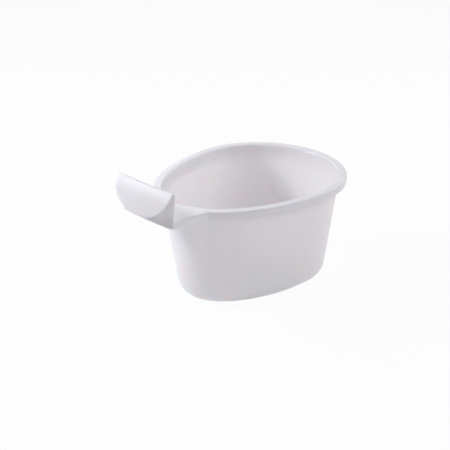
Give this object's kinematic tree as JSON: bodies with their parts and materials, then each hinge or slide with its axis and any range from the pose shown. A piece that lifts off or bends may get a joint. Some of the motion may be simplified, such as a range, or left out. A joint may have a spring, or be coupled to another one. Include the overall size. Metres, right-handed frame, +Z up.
{
  "type": "bedpan",
  "caption": "White plastic commode pan: tapered egg-shaped bowl, flat skirted rim, and a shelf at the narrow end with a folded cup grip for lifting and emptying.",
  "frame": {"origin": "on the plane the pan stands on, under the middle of its overall box", "axes": "+X along the long axis away from the grip, +Y across the pan, +Z up"},
  "size_m": [0.3078, 0.21, 0.1733],
  "materials": {
    "bowl_plastic": "fine satin white polypropylene",
    "rim_plastic": "fine satin white polypropylene",
    "grip_plastic": "fine satin white polypropylene"
  },
  "bodies": {
    "root": {"bowl": "bowl_plastic", "rim": "rim_plastic", "grip": "grip_plastic"}
  },
  "joints": []
}
